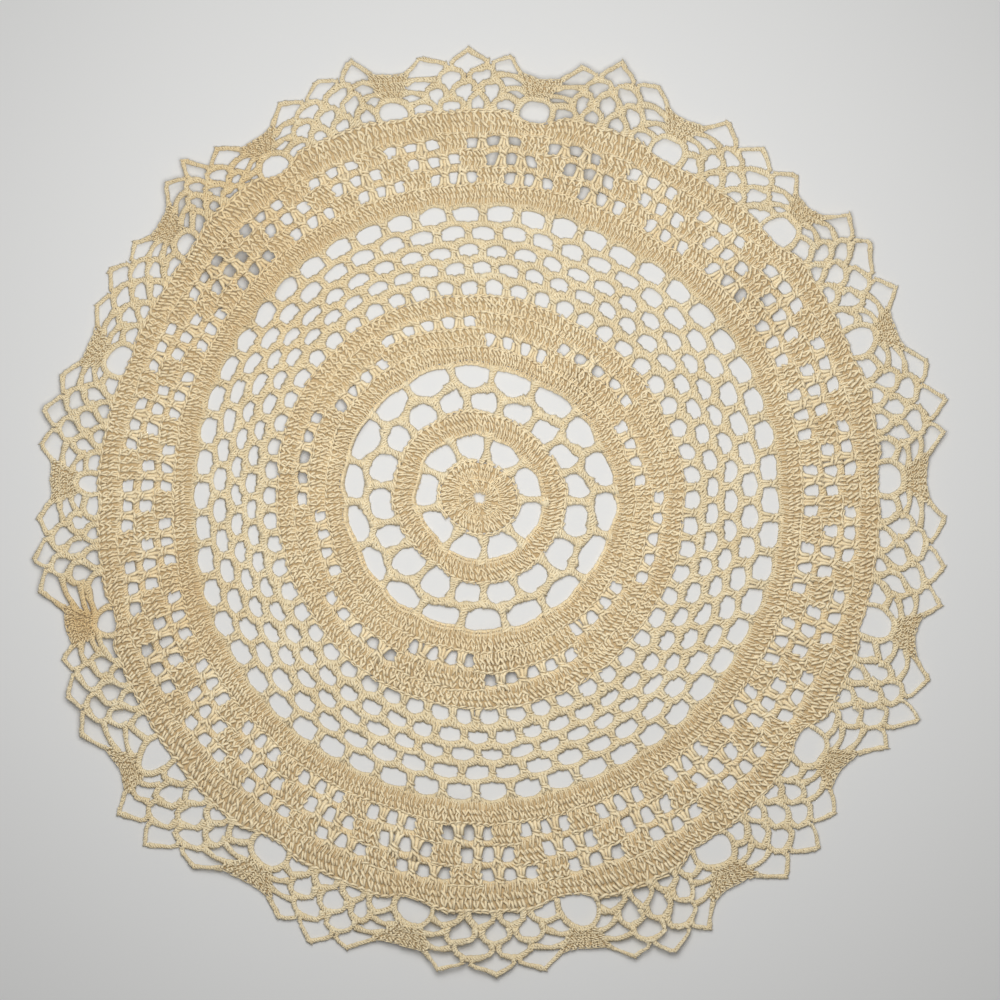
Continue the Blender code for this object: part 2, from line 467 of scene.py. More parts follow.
# ---------------------------------------------------------------- cells, in which stitches are worked

ROLL = 0.45             # radians by which a run of chain may start rolled over
ROLL_TURN = 0.12        # radians by which it may roll on from each link to the next


class Cell(NamedTuple):
    """Four corners, anticlockwise from the left of the foot, how high it lies and how far it rolls."""
    corners: tuple
    height: float = 0.0
    roll: float = 0.0


def standing_cell(foot, head, middle, at_foot, at_head, lean):
    """A cell between two radii, from the degrees to each side of its middle at foot and head."""
    return Cell((
        lay(foot, middle + at_foot), lay(foot, middle - at_foot),
        lay(head, middle - at_head + lean), lay(head, middle + at_head + lean),
    ))


def ring_cell(foot, head, middle, width, lean):
    """A cell of a round, between two radii, as many degrees wide as given."""
    return standing_cell(foot, head, middle, width / 2, width / 2, lean)


def post_cell(foot, head, middle, width, lean=0.0):
    """A cell for a post that stands alone, as many millimetres wide at its head as given."""
    at_foot, at_head = math.degrees(width * 0.6 / foot), math.degrees(width / 2 / head)
    return standing_cell(foot, head, middle, at_foot, at_head, lean)


def smooth(points, parts=8):
    """A smooth line through points, by Catmull and Rom's rule."""
    p = np.array([points[0], *points, points[-1]], float)
    line = []
    for k in range(1, len(p) - 2):
        for part in np.linspace(0, 1, parts, endpoint=False):
            a, b = 2 * p[k], p[k + 1] - p[k - 1]
            c = 2 * p[k - 1] - 5 * p[k] + 4 * p[k + 1] - p[k + 2]
            d = 3 * p[k] - p[k - 1] - 3 * p[k + 1] + p[k + 2]
            line.append((a + b * part + c * part ** 2 + d * part ** 3) / 2)
    line.append(p[-2])
    return np.array(line)


def evenly(line, count):
    """Places along a line, at even distances, and the direction of the line at each."""
    steps = np.hypot(*np.diff(line, axis=0).T)
    run = np.concatenate(([0], np.cumsum(steps)))
    wanted = np.linspace(0, run[-1], count + 1)
    places = np.column_stack([np.interp(wanted, run, line[:, axis]) for axis in (0, 1)])
    along = np.gradient(places, axis=0)
    return places, along / np.hypot(*along.T)[:, None]


def length_of(line):
    """Length of a line through points."""
    return float(np.hypot(*np.diff(line, axis=0).T).sum())


def chain_cells(points, pitch=1.8, width=2.0, joints=0, spread=0.9, height=0.0):
    """Cells of a run of chain along a smooth line, wider where it is worked into.

    The joints are the stretches between such places, with one at each end of the run.
    """
    line = smooth(points)
    count = max(1, round(length_of(line) / pitch))
    places, along = evenly(line, count)
    share = np.abs(np.cos(np.linspace(0, math.pi * joints, count + 1))) ** 3 if joints else 0
    widths = width * (1 + spread * share) * np.ones(count + 1)
    side = np.column_stack((along[:, 1], -along[:, 0])) * widths[:, None] / 2
    start, turn = rng.uniform(-ROLL, ROLL), rng.uniform(-ROLL_TURN, ROLL_TURN)
    for k in range(count):
        yield Cell((
            tuple(places[k] - side[k]), tuple(places[k] + side[k]),
            tuple(places[k + 1] + side[k + 1]), tuple(places[k + 1] - side[k + 1]),
        ), height, start + turn * k)


def row_cells(inner, outer, count):
    """Cells between two lines that run the same way, with the outer line at their heads."""
    feet, _ = evenly(np.array(inner), count)
    heads, _ = evenly(np.array(outer), count)
    for k in range(count):
        yield Cell((tuple(feet[k + 1]), tuple(feet[k]), tuple(heads[k]), tuple(heads[k + 1])))


# millimetres by which the corners of cells, and the heights of stitches, are off at random
STITCH_UNEVEN = 0.12
CHAIN_UNEVEN = 0.07
TIGHT_UNEVEN = 0.06
HEIGHT_UNEVEN = 0.05

UNDER_STITCHES = -0.5   # height of a run of chain that stitches are worked over


class Work:
    """Stitches gathered for one piece of the doily."""

    def __init__(self, name):
        self.name = name
        self.points, self.corners, self.sizes = [], [], []
        self.wraps, self.tones, self.painted_lights_by_height = [], [], []
        self.count = 0      # of the points

    def chain(self, points, unevenness=CHAIN_UNEVEN, **how):
        """Works a run of chain along a smooth line through points."""
        self.add(TWIST, chain_cells(points, **how), unevenness)

    def add(self, variants, cells, unevenness=STITCH_UNEVEN):
        """Copies a stitch into each cell, and moves the corners of the cells a little."""
        cells = list(cells)
        if not cells:
            return
        corners = np.array([cell.corners for cell in cells])
        corners = corners + rng.normal(0, unevenness, corners.shape)
        heights = np.array([cell.height for cell in cells])
        rolls = np.array([cell.roll for cell in cells])
        picks = rng.integers(0, len(variants), len(cells))
        for pick, stitch in enumerate(variants):
            mine = picks == pick
            if mine.any():
                self.copy(stitch, corners[mine], heights[mine], rolls[mine])

    def copy(self, stitch, corners, heights, rolls):
        """Copies one stitch into many cells, each stretched between its four corners."""
        x, y, z = stitch.points.T
        z = z - CHAIN_MIDDLE
        cos, sin = np.cos(rolls)[:, None], np.sin(rolls)[:, None]
        s = (x * cos - z * sin) / stitch.width + 0.5
        t = (y / stitch.height)[None, :].repeat(len(rolls), 0)
        up = x * sin + z * cos + CHAIN_MIDDLE + heights[:, None]
        up = up + rng.normal(0, HEIGHT_UNEVEN, len(rolls))[:, None]
        weights = ((1 - s) * (1 - t), s * (1 - t), s * t, (1 - s) * t)
        flat = sum(w[..., None] * corners[:, None, k] for k, w in enumerate(weights))
        points = np.concatenate((flat, np.maximum(up, LOWEST)[..., None]), axis=2)
        many, size = len(rolls), len(stitch.points)
        starts = self.count + size * np.arange(many)
        self.points.append(points.reshape(-1, 3))
        self.corners.append((stitch.corners[None] + starts[:, None]).ravel())
        self.sizes.append(np.tile(stitch.sizes, many))
        self.wraps.append(np.tile(stitch.wraps, (many, 1)))
        self.tones.append(np.repeat(rng.uniform(0, 1, many), size))
        # painted shade: from 0 for strands low in the cloth, which get the darkest colour, to 1 high
        # up
        self.painted_lights_by_height.append(np.clip((points[..., 2].ravel() - PAINTED_SHADE_LOW) / (PAINTED_SHADE_HIGH - PAINTED_SHADE_LOW), 0, 1))
        self.count += many * size

    def make(self, material):
        """Joins the stitches into one smooth mesh."""
        points = placed(np.concatenate(self.points))
        corners, sizes = np.concatenate(self.corners), np.concatenate(self.sizes)
        mesh = bpy.data.meshes.new(self.name)
        mesh.vertices.add(len(points))
        mesh.vertices.foreach_set("co", points.astype(np.float32).ravel())
        mesh.loops.add(len(corners))
        mesh.loops.foreach_set("vertex_index", corners.astype(np.int32))
        mesh.polygons.add(len(sizes))
        mesh.polygons.foreach_set("loop_start", (np.cumsum(sizes) - sizes).astype(np.int32))
        mesh.update(calc_edges=True)
        thread = mesh.uv_layers.new(name="thread")
        thread.data.foreach_set("uv", np.concatenate(self.wraps).astype(np.float32).ravel())
        for name, values in (("tone", self.tones), ("depth", self.painted_lights_by_height)):
            attribute = mesh.attributes.new(name, "FLOAT", "POINT")
            attribute.data.foreach_set("value", np.concatenate(values).astype(np.float32))
        mesh.shade_smooth()
        mesh.materials.append(material)
        piece = bpy.data.objects.new(self.name, mesh)
        bpy.context.collection.objects.link(piece)
        return piece


# ---------------------------------------------------------------- the rounds

class DenseRound(NamedTuple):
    """A round of double crochets side by side."""
    stitches: int
    foot: float
    head: float
    lean: float         # degrees by which the heads lean anticlockwise


CENTRE_ROUNDS = (
    DenseRound(18, 2.0, 6.6, 2.0),
    DenseRound(36, 6.6, 13.2, 1.0),
)
BAND_FOOT = DenseRound(162, 44.6, 51.1, 0.0)
BAND_HEAD = DenseRound(162, 62.6, 68.0, 0.0)
BORDER_FOOT = DenseRound(324, 98.0, 105.0, 0.0)
BORDER_HEAD = DenseRound(324, 124.1, 130.0, 0.0)


def wander(angle, seed):
    """A slow unevenness along a round, from -1 to 1."""
    a = math.radians(angle)
    return (math.sin(5 * a + seed) + math.sin(11 * a + 2.3 * seed) + math.sin(23 * a + 4.1 * seed)) / 3


SWAY = 0.35             # stitches by which the heads of a dense round lean to and fro
BLOCK_SWAY = 0.3        # the same for the blocks of a round with spaces


def even(angle):
    """The shift of an edge that keeps to its circle at every angle."""
    return 0.0


def dense_cells(dense, foot_shift=even, head_shift=even):
    """Cells of a round of double crochets, with either edge shifted outward by a function."""
    step = 360 / dense.stitches
    for place in range(dense.stitches):
        low, high = step * place, step * (place + 1)
        lean = dense.lean + SWAY * step * wander(low, dense.foot)
        foot_low, foot_high = dense.foot + foot_shift(low), dense.foot + foot_shift(high)
        head_low, head_high = dense.head + head_shift(low), dense.head + head_shift(high)
        yield Cell((
            lay(foot_high, high), lay(foot_low, low),
            lay(head_low, low + lean), lay(head_high, high + lean),
        ))


def arc(radius, start, end, bulge):
    """Points of a run of chain from one angle to another, further out in the middle."""
    points = []
    for share in (0, 0.25, 0.5, 0.75, 1):
        points.append(lay(radius + bulge * math.sin(math.pi * share), start + (end - start) * share))
    return points


class SpaceRound(NamedTuple):
    """A round of blocks of double crochets with groups of chain spaces between them."""
    stitches: int
    foot: float
    head: float
    repeats: int
    spaces: int         # in each group; each is two chains wide, with a post between two spaces
    middle: float       # angle of the middle of the first group


BAND_SPACES = (
    SpaceRound(162, 51.1, 57.1, 6, 4, 16.5),
    SpaceRound(162, 57.1, 62.6, 6, 5, 47.0),
)
BORDER_SPACES = (
    SpaceRound(324, 105.0, 111.5, 27, 3, 1.27),
    SpaceRound(324, 111.5, 118.1, 27, 3, 4.60),
    SpaceRound(324, 118.1, 124.1, 27, 3, 7.93),
)

BLOCK_REACH = 0.3       # stitches by which a block reaches into the space on each side of it
SPACE_POST = 3.2        # width of the posts between spaces


def group_stitches(row):
    """Stitches that a group of spaces stands for: two for each space, and its posts."""
    return row.spaces * 3 - 1


def group_half(row):
    """Half the angle that a group of spaces takes."""
    return group_stitches(row) * 360 / row.stitches / 2


def over_space(row, angle):
    """Tells whether a stitch at this angle is worked over a space of the row."""
    off = (angle - row.middle + 180 / row.repeats) % (360 / row.repeats) - 180 / row.repeats
    return abs(off) < group_half(row)


def work_stitches(work, cells, angles, below):
    """Works double crochets into the row below, over its chains where it has spaces."""
    over = [below is not None and over_space(below, angle) for angle in angles]
    work.add(DC, [cell for cell, flag in zip(cells, over) if not flag])
    work.add(DC_OVER, [cell for cell, flag in zip(cells, over) if flag])


def work_dense_round(work, dense, below, head_shift=even):
    """Works a round of double crochets into a row with spaces."""
    step = 360 / dense.stitches
    angles = [step * (place + 0.5) for place in range(dense.stitches)]
    work_stitches(work, list(dense_cells(dense, head_shift=head_shift)), angles, below)


def work_space_round(work, row, below=None):
    """Works the blocks, the posts between spaces, and the two chains over each space."""
    step = 360 / row.stitches
    half = group_half(row)
    block = row.stitches // row.repeats - group_stitches(row)
    for repeat in range(row.repeats):
        middle = row.middle + repeat * 360 / row.repeats
        group_start = middle - half - step * BLOCK_REACH
        block_start = middle + half - step * BLOCK_REACH
        block_end = middle + half + step * (block + BLOCK_REACH)
        edges = np.linspace(block_start, block_end, block + 1)
        angles = [float(angle) for angle in (edges[:-1] + edges[1:]) / 2]
        lean = BLOCK_SWAY * step * wander(middle, row.foot)
        wide = step * (1 + 2 * BLOCK_REACH / block)
        cells = [ring_cell(row.foot, row.head, angle, wide, lean) for angle in angles]
        work_stitches(work, cells, angles, below)
        posts = [middle - half + step * (3 * k + 2.5) for k in range(row.spaces - 1)]
        work.add(POSTS, [post_cell(row.foot + 0.1, row.head, angle, SPACE_POST) for angle in posts])
        ends = [group_start, *posts, middle + half + step * BLOCK_REACH]
        for start, end in zip(ends[:-1], ends[1:]):
            over = arc(row.head - 1.1, start, end, bulge=0.35)
            work.chain(over, TIGHT_UNEVEN, pitch=1.9, width=2.3, joints=1, spread=0.7, height=-0.6)


class Mesh(NamedTuple):
    """A round of open mesh: where its posts stand, and its chains at the posts and between them."""
    foot: float
    at_post: float
    between: float
    first: float        # angle of the middle of the first space
    width: float        # of its chains


MESH_SPACES = 54
MESH_POST = 2.8         # width of the posts of the open mesh

MESHES = (
    Mesh(67.5, 72.6, 73.9, 6.0, 2.6),
    Mesh(73.8, 78.5, 79.8, 9.33, 2.2),
    Mesh(79.6, 84.0, 85.3, 6.0, 2.2),
    Mesh(85.2, 90.0, 91.3, 9.33, 1.75),
    Mesh(91.2, 96.8, 98.1, 6.0, 2.0),
)


def mesh_arches(angle):
    """How far the last runs of chain of the open mesh bulge outward, between their posts."""
    return 1.1 * abs(math.sin(math.radians((angle - 2.67) * MESH_SPACES / 2)))


def work_mesh_round(work, row, height=0.0):
    """Works a round of posts with a run of chain between their heads."""
    step = 360 / MESH_SPACES
    for k in range(MESH_SPACES):
        post = row.first + step * (k + 0.5)
        work.add(POSTS, [post_cell(row.foot + 0.3, row.at_post + 0.3, post, MESH_POST, 0.15)])
        shoulder = row.at_post + (row.between - row.at_post) * 0.75
        run = [
            lay(row.at_post, post), lay(shoulder, post + step * 0.22),
            lay(row.between, post + step * 0.5),
            lay(shoulder, post + step * 0.78), lay(row.at_post, post + step),
        ]
        work.chain(run, width=row.width, joints=1, spread=0.5, height=height)


def work_open_mesh(work):
    """Works the five rounds of open mesh, the last of them with its chains under the border."""
    for row in MESHES[:-1]:
        work_mesh_round(work, row)
    work_mesh_round(work, MESHES[-1], UNDER_STITCHES)


class Upright(NamedTuple):
    """A post of the hub's open rounds where it really stands, as its foot and its head."""
    foot_angle: float
    foot: float
    head_angle: float
    head: float


BARS = (
    Upright(39.6, 12.6, 38.0, 20.2),
    Upright(82.6, 12.6, 82.2, 21.0),
    Upright(116.4, 13.0, 116.8, 21.8),
    Upright(149.5, 13.2, 153.0, 21.8),
    Upright(192.2, 13.0, 191.8, 21.6),
    Upright(235.4, 12.8, 235.2, 20.8),
    Upright(274.2, 12.9, 273.6, 21.2),
    Upright(313.2, 12.9, 314.0, 21.2),
    Upright(358.6, 12.7, 358.0, 21.6),
)

INNER_POSTS = (
    Upright(16.7, 27.6, 16.7, 34.3),
    Upright(36.6, 26.6, 36.2, 33.2),
    Upright(56.0, 26.8, 55.7, 33.2),
    Upright(77.0, 27.4, 76.7, 33.4),
    Upright(97.8, 28.8, 97.6, 35.2),
    Upright(114.8, 28.8, 114.8, 35.4),
    Upright(135.6, 29.4, 135.0, 36.0),
    Upright(152.2, 28.6, 152.6, 35.8),
    Upright(172.0, 28.9, 172.6, 36.2),
    Upright(194.6, 27.6, 194.2, 35.6),
    Upright(212.2, 27.2, 211.2, 35.4),
    Upright(232.4, 26.2, 231.6, 34.4),
    Upright(253.6, 27.6, 253.2, 35.2),
    Upright(272.4, 27.8, 272.4, 34.8),
    Upright(291.6, 27.8, 292.0, 35.2),
    Upright(315.0, 27.6, 314.8, 35.3),
    Upright(336.0, 27.8, 336.4, 35.9),
    Upright(357.8, 28.2, 358.2, 35.8),
)

OUTER_POSTS = (
    Upright(4.6, 38.0, 3.6, 45.0),
    Upright(23.6, 36.6, 23.0, 43.6),
    Upright(42.0, 36.0, 42.0, 43.4),
    Upright(63.2, 35.8, 63.6, 42.6),
    Upright(83.8, 36.6, 83.6, 43.2),
    Upright(103.0, 38.6, 102.8, 45.0),
    Upright(124.4, 39.0, 124.0, 45.0),
    Upright(142.6, 39.0, 142.0, 45.2),
    Upright(163.8, 39.5, 163.8, 45.6),
    Upright(182.0, 38.6, 181.4, 44.4),
    Upright(202.0, 38.0, 202.2, 43.6),
    Upright(220.8, 38.5, 221.2, 44.0),
    Upright(242.0, 37.8, 241.4, 43.8),
    Upright(261.6, 36.6, 261.0, 43.6),
    Upright(281.0, 37.2, 281.0, 44.4),
    Upright(301.2, 37.6, 300.4, 44.2),
    Upright(321.2, 38.0, 321.6, 44.0),
    Upright(344.4, 38.5, 343.4, 44.8),
)


class Wave(NamedTuple):
    """Where the inner and outer edge of the hub's dense ring really lie, at one angle."""
    inner: float
    outer: float


RING_WAVES = (      # every 20 degrees
    Wave(21.3, 28.5), Wave(21.2, 28.0), Wave(19.8, 26.9), Wave(20.4, 27.2), Wave(20.6, 28.0),
    Wave(22.0, 29.3), Wave(21.8, 29.2), Wave(23.0, 29.8), Wave(21.9, 29.2), Wave(22.1, 29.0),
    Wave(20.7, 27.5), Wave(20.5, 27.0), Wave(20.8, 26.6), Wave(21.2, 28.3), Wave(21.3, 28.1),
    Wave(21.8, 28.3), Wave(21.2, 27.8), Wave(21.9, 28.5),
)

RING_STITCHES = 81
HOOKED = 0.4            # millimetres by which a post reaches into the rounds beside it


def ring_edge(angle):
    """Inner and outer radius of the hub's ring at an angle."""
    row, part = divmod(angle % 360 / 20, 1)
    ease = (1 - math.cos(math.pi * part)) / 2
    here, after = RING_WAVES[int(row)], RING_WAVES[(int(row) + 1) % len(RING_WAVES)]
    inner = here.inner + (after.inner - here.inner) * ease
    return inner, here.outer + (after.outer - here.outer) * ease


def work_upright(work, post):
    """Works a post of the hub, wider at its foot and its head, which are hooked in."""
    foot = np.array(polar(post.foot - HOOKED, post.foot_angle))
    head = np.array(polar(post.head + HOOKED, post.head_angle))
    work.chain([tuple(foot), tuple((foot + head) / 2), tuple(head)], width=2.1, joints=1, spread=1.2)


def ring_foot(angle):
    """Where the feet of the dense ring stand, just outside its inner edge."""
    return polar(ring_edge(angle)[0] + 0.3, angle)


def ring_head(angle):
    """Where the heads of the dense ring lie, just outside its outer edge."""
    return polar(ring_edge(angle)[1] + 0.2, angle)


def wavy_cells(foot, head, leans):
    """Cells of a round between two edges, which are functions of the angle, one cell to a lean."""
    step = 360 / len(leans)
    for place, lean in enumerate(leans):
        low, high = step * place, step * (place + 1)
        yield Cell((foot(high), foot(low), head(low + lean), head(high + lean)))


def work_centre(work):
    """The hub: two dense rounds, and the dense ring, which stands in a run of chain."""
    for dense in CENTRE_ROUNDS:
        work.add(DC, dense_cells(dense))
    under = [polar(ring_edge(angle)[0] - 0.2, angle) for angle in range(0, 366, 6)]
    work.chain(under, width=2.0, height=UNDER_STITCHES)
    step = 360 / RING_STITCHES
    leans = [0.5 + 0.8 * wander(step * place, 3) for place in range(RING_STITCHES)]
    work.add(DC_OVER, wavy_cells(ring_foot, ring_head, leans))


def work_hub_net(work):
    """The bars of the hub, and two rounds of loops: posts, and chain between their heads."""
    for post in (*BARS, *INNER_POSTS, *OUTER_POSTS):
        work_upright(work, post)
    for k, post in enumerate(INNER_POSTS):
        following = (k + 1) % len(INNER_POSTS)
        after, peak = INNER_POSTS[following], OUTER_POSTS[following]
        run = [
            polar(post.head, post.head_angle), polar(peak.foot - 0.2, peak.foot_angle),
            polar(after.head, after.head_angle),
        ]
        work.chain(run, width=2.2, joints=2)


def band_foot_edge(angle):
    """Radius of the arched runs of chain that the band is worked over."""
    passed = [k for k, post in enumerate(OUTER_POSTS) if post.head_angle <= angle % 360]
    k = passed[-1] if passed else -1
    post, after = OUTER_POSTS[k], OUTER_POSTS[(k + 1) % len(OUTER_POSTS)]
    share = ((angle - post.head_angle) % 360) / ((after.head_angle - post.head_angle) % 360)
    return post.head + (after.head - post.head) * share + 1.1 * math.sin(math.pi * share) + 0.2


def band_foot(angle):
    """Where the feet of the band's first round stand."""
    return polar(band_foot_edge(angle), angle)


def band_head(angle):
    """Where the heads of the band's first round lie."""
    return lay(BAND_FOOT.head, angle)


def work_band(work):
    """The band: a dense round over the hub's loops, two rounds with spaces, and a dense round."""
    step = 360 / BAND_FOOT.stitches
    leans = [SWAY * step * wander(step * place, 7) for place in range(BAND_FOOT.stitches)]
    work.add(DC_OVER, wavy_cells(band_foot, band_head, leans))
    under = [polar(band_foot_edge(angle) - 0.5, angle) for angle in range(0, 363, 3)]
    work.chain(under, width=2.3, height=UNDER_STITCHES)
    work_space_round(work, BAND_SPACES[0])
    work_space_round(work, BAND_SPACES[1], BAND_SPACES[0])
    work_dense_round(work, BAND_HEAD, BAND_SPACES[1])


def work_border_foot(work):
    """The border's first dense round, over the chains of the open mesh, and two rounds with spaces."""
    work.add(DC_OVER, dense_cells(BORDER_FOOT, foot_shift=mesh_arches))
    work_space_round(work, BORDER_SPACES[0])
    work_space_round(work, BORDER_SPACES[1], BORDER_SPACES[0])


def work_border_head(work):
    """The border's third round with spaces, and the dense round on which the edging stands."""
    work_space_round(work, BORDER_SPACES[2], BORDER_SPACES[1])
    work_dense_round(work, BORDER_HEAD, BORDER_SPACES[2], edge_shift)


# ---------------------------------------------------------------- the edging

class Net(NamedTuple):
    """One repeat of the edging as it lies: its arch, and the joints of the net beside it.

    The joints are (across, outward), from the arch at 0 to the next arch at 1.
    """
    sides: tuple        # of the arch, across
    sill: float         # how far outward the dense round ends under the arch
    top: float          # of the arch
    edge: float         # how far outward the dense round ends under the net
    feet: tuple         # across
    first: tuple
    second: tuple
    third: tuple


NETS = (
    Net((-0.12, 0.14), -0.03, 0.48, 0.03, (0.33, 0.52, 0.71),
        ((0.23, 0.40), (0.41, 0.36), (0.61, 0.35), (0.79, 0.40)),
        ((0.28, 0.61), (0.51, 0.57), (0.72, 0.60)), ((0.37, 0.80), (0.62, 0.78))),
    Net((-0.09, 0.14), -0.01, 0.54, 0.00, (0.32, 0.51, 0.69),
        ((0.23, 0.34), (0.40, 0.31), (0.59, 0.34), (0.76, 0.37)),
        ((0.29, 0.54), (0.48, 0.55), (0.68, 0.60)), ((0.36, 0.77), (0.59, 0.81))),
    Net((-0.13, 0.14), -0.10, 0.49, 0.00, (0.32, 0.51, 0.70),
        ((0.22, 0.33), (0.41, 0.32), (0.60, 0.33), (0.78, 0.36)),
        ((0.29, 0.56), (0.51, 0.55), (0.70, 0.57)), ((0.37, 0.78), (0.61, 0.76))),
    Net((-0.13, 0.13), -0.04, 0.51, 0.07, (0.32, 0.51, 0.70),
        ((0.24, 0.35), (0.42, 0.40), (0.61, 0.39), (0.78, 0.37)),
        ((0.31, 0.59), (0.51, 0.62), (0.72, 0.59)), ((0.39, 0.81), (0.62, 0.81))),
    Net((-0.11, 0.16), -0.09, 0.44, 0.10, (0.34, 0.51, 0.71),
        ((0.26, 0.42), (0.43, 0.43), (0.61, 0.37), (0.78, 0.38)),
        ((0.32, 0.65), (0.51, 0.60), (0.69, 0.59)), ((0.38, 0.82), (0.60, 0.79))),
    Net((-0.10, 0.16), 0.07, 0.47, 0.15, (0.33, 0.51, 0.69),
        ((0.23, 0.42), (0.41, 0.43), (0.60, 0.42), (0.78, 0.40)),
        ((0.29, 0.63), (0.50, 0.63), (0.71, 0.61)), ((0.37, 0.82), (0.61, 0.81))),
    Net((-0.12, 0.16), -0.03, 0.46, 0.14, (0.33, 0.52, 0.69),
        ((0.23, 0.32), (0.40, 0.31), (0.59, 0.39), (0.76, 0.46)),
        ((0.29, 0.53), (0.49, 0.53), (0.68, 0.63)), ((0.39, 0.73), (0.59, 0.77))),
    Net((-0.11, 0.12), 0.04, 0.47, 0.03, (0.33, 0.52, 0.71),
        ((0.22, 0.37), (0.40, 0.36), (0.60, 0.36), (0.79, 0.39)),
        ((0.28, 0.59), (0.49, 0.58), (0.71, 0.60)), ((0.38, 0.79), (0.62, 0.80))),
    Net((-0.11, 0.17), -0.04, 0.49, 0.00, (0.35, 0.55, 0.74),
        ((0.25, 0.36), (0.43, 0.35), (0.63, 0.32), (0.81, 0.33)),
        ((0.31, 0.60), (0.51, 0.57), (0.72, 0.56)), ((0.39, 0.81), (0.62, 0.79))),
    Net((-0.06, 0.10), 0.04, 0.47, 0.02, (0.29, 0.46, 0.65),
        ((0.22, 0.36), (0.38, 0.34), (0.54, 0.35), (0.74, 0.34)),
        ((0.29, 0.57), (0.47, 0.58), (0.66, 0.58)), ((0.37, 0.80), (0.58, 0.80))),
    Net((-0.08, 0.13), -0.13, 0.34, 0.03, (0.35, 0.55, 0.74),
        ((0.24, 0.32), (0.44, 0.34), (0.64, 0.39), (0.81, 0.41)),
        ((0.30, 0.58), (0.51, 0.59), (0.73, 0.63)), ((0.36, 0.83), (0.61, 0.82))),
    Net((-0.04, 0.18), 0.06, 0.60, 0.09, (0.36, 0.54, 0.72),
        ((0.25, 0.38), (0.44, 0.38), (0.63, 0.42), (0.79, 0.47)),
        ((0.31, 0.59), (0.52, 0.60), (0.72, 0.66)), ((0.40, 0.79), (0.62, 0.82))),
    Net((-0.10, 0.16), 0.01, 0.53, 0.08, (0.35, 0.54, 0.73),
        ((0.23, 0.40), (0.43, 0.37), (0.64, 0.40), (0.81, 0.44)),
        ((0.29, 0.62), (0.52, 0.60), (0.74, 0.66)), ((0.37, 0.82), (0.63, 0.83))),
    Net((-0.09, 0.16), 0.00, 0.52, 0.08, (0.35, 0.54, 0.73),
        ((0.25, 0.39), (0.43, 0.41), (0.62, 0.39), (0.81, 0.40)),
        ((0.30, 0.62), (0.51, 0.63), (0.72, 0.60)), ((0.38, 0.83), (0.61, 0.82))),
    Net((-0.08, 0.18), -0.03, 0.57, 0.08, (0.38, 0.57, 0.75),
        ((0.26, 0.41), (0.46, 0.43), (0.65, 0.39), (0.82, 0.38)),
        ((0.32, 0.64), (0.55, 0.65), (0.76, 0.61)), ((0.41, 0.85), (0.66, 0.85))),
    Net((-0.09, 0.18), -0.02, 0.52, 0.02, (0.34, 0.51, 0.69),
        ((0.25, 0.37), (0.41, 0.34), (0.60, 0.30), (0.77, 0.33)),
        ((0.30, 0.58), (0.50, 0.54), (0.70, 0.53)), ((0.38, 0.79), (0.60, 0.76))),
    Net((-0.14, 0.13), -0.09, 0.51, 0.04, (0.33, 0.52, 0.69),
        ((0.23, 0.33), (0.42, 0.34), (0.60, 0.39), (0.76, 0.41)),
        ((0.29, 0.56), (0.50, 0.58), (0.68, 0.62)), ((0.37, 0.79), (0.59, 0.80))),
    Net((-0.13, 0.12), -0.03, 0.55, 0.00, (0.31, 0.49, 0.69),
        ((0.21, 0.34), (0.39, 0.32), (0.59, 0.34), (0.77, 0.36)),
        ((0.27, 0.57), (0.49, 0.57), (0.69, 0.57)), ((0.37, 0.79), (0.60, 0.78))),
)

LEG = 0.065             # half the length of a joint, outward
LEG_SIDE = 0.020        # how far the two runs of chain of a joint are from its middle, across


def edge_shift(angle):
    """Millimetres by which the last dense round ends outside its even edge."""
    for index, net in enumerate(NETS):
        here, after = SCALLOPS[index], SCALLOPS[(index + 1) % len(SCALLOPS)]
        width = (after.arch - here.arch) % 360
        across = (angle - here.arch) % 360 / width
        if across <= 1:
            sills = (net.sill, net.sill, net.edge, net.edge, NETS[(index + 1) % len(NETS)].sill)
            outward = float(np.interp(across, (0, 0.07, 0.22, 0.80, 0.93), sills))
            return outward * (here.reach_2 - EDGE)
    return 0.0


CLUSTER_LINES = (       # over an even arch, from its middle to the end of each row of the cluster
    (Spot(0.0, 0.515), Spot(0.045, 0.49), Spot(0.08, 0.42)),
    (Spot(0.0, 0.66), Spot(0.055, 0.635), Spot(0.11, 0.555)),
    (Spot(0.0, 0.81), Spot(0.07, 0.775), Spot(0.15, 0.70)),
    (Spot(0.0, 0.975), Spot(0.045, 0.925), Spot(0.095, 0.885), Spot(0.15, 0.865), Spot(0.185, 0.86)),
)
EVEN_TOP = 0.505        # of an even arch
CLUSTER_TOP = 0.98      # where a cluster ends, whatever the arch under it
CLUSTER_STITCHES = (5, 6, 8)

# where loops leave a cluster: two that run to the net's joints, and the first of the rim
SIDE_ENDS = (Spot(0.085, 0.56), Spot(0.125, 0.705), Spot(0.15, 0.845))


def raised(spot, rise):
    """The same spot, so much further outward."""
    return Spot(spot[0], spot[1] + rise)


def towards(foot, end, share, rise=0.0):
    """A spot on the way from one to another, raised outward."""
    return Spot(foot[0] + (end[0] - foot[0]) * share, foot[1] + (end[1] - foot[1]) * share + rise)


def run_of(index, spots):
    """Places of a run of spots in one repeat of the edging."""
    return [edging(index, Spot(*spot)) for spot in spots]


def over_arch(net, spot):
    """A spot of a cluster over an even arch, moved to where this arch holds it."""
    share = min(1.0, max(0.0, (CLUSTER_TOP - spot.outward) / (CLUSTER_TOP - EVEN_TOP)))
    across = spot.across + sum(net.sides) / 2 * share
    return Spot(across, spot.outward + (net.top - EVEN_TOP) * share)


def over_next(after, spot):
    """The mirror of a spot of a cluster, at the next arch."""
    held = over_arch(after, Spot(-spot.across, spot.outward))
    return Spot(1 + held.across, held.outward)


def both_ways(index, half):
    """Spots over the middle of an arch, from half of them, clockwise end first."""
    left = [Spot(-spot.across, spot.outward) for spot in reversed(half[1:])]
    return run_of(index, [over_arch(NETS[index], spot) for spot in (*left, *half)])


